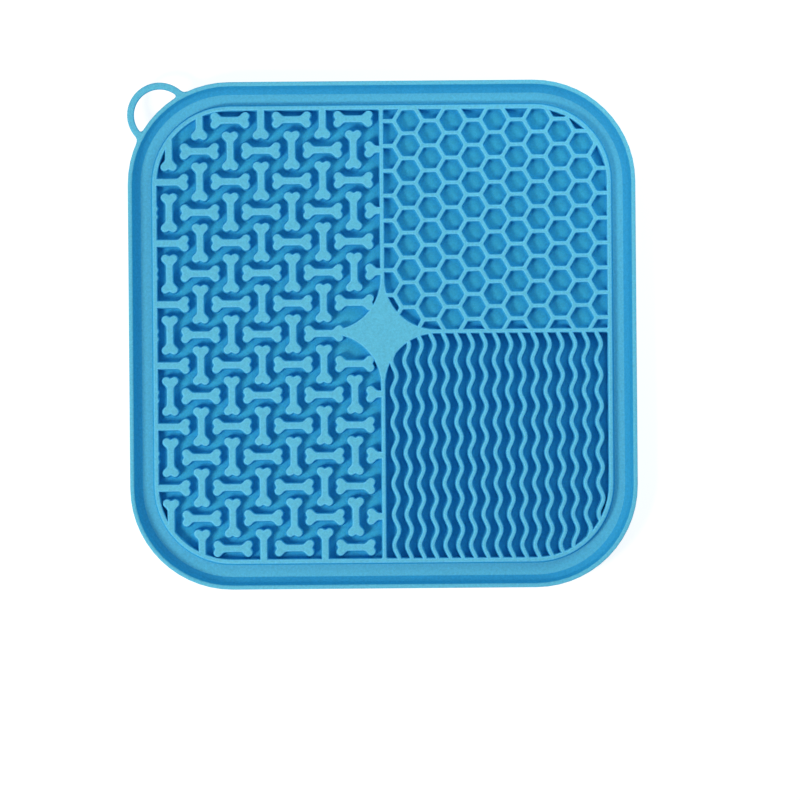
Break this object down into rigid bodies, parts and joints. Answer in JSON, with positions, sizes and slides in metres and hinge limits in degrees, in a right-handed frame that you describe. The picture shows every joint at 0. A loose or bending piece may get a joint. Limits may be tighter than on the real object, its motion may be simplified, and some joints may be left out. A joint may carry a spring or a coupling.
{
  "type": "lick mat",
  "caption": "Square moulded silicone lick mat with a raised rim, a spill channel, a licking field of bones, honeycomb and wavy ribs round a star, and a hanging loop at one corner.",
  "frame": {"origin": "centre of the flat underside, where the mat rests", "axes": "+Z out of the licking face, +X to the right and +Y up on that face with the hanging loop at the top left"},
  "size_m": [0.2, 0.2, 0.01],
  "materials": {
    "silicone": "soft matte, moulded, light blue"
  },
  "bodies": {
    "root": {"mat": "silicone", "hanging_loop": "silicone"}
  },
  "joints": []
}
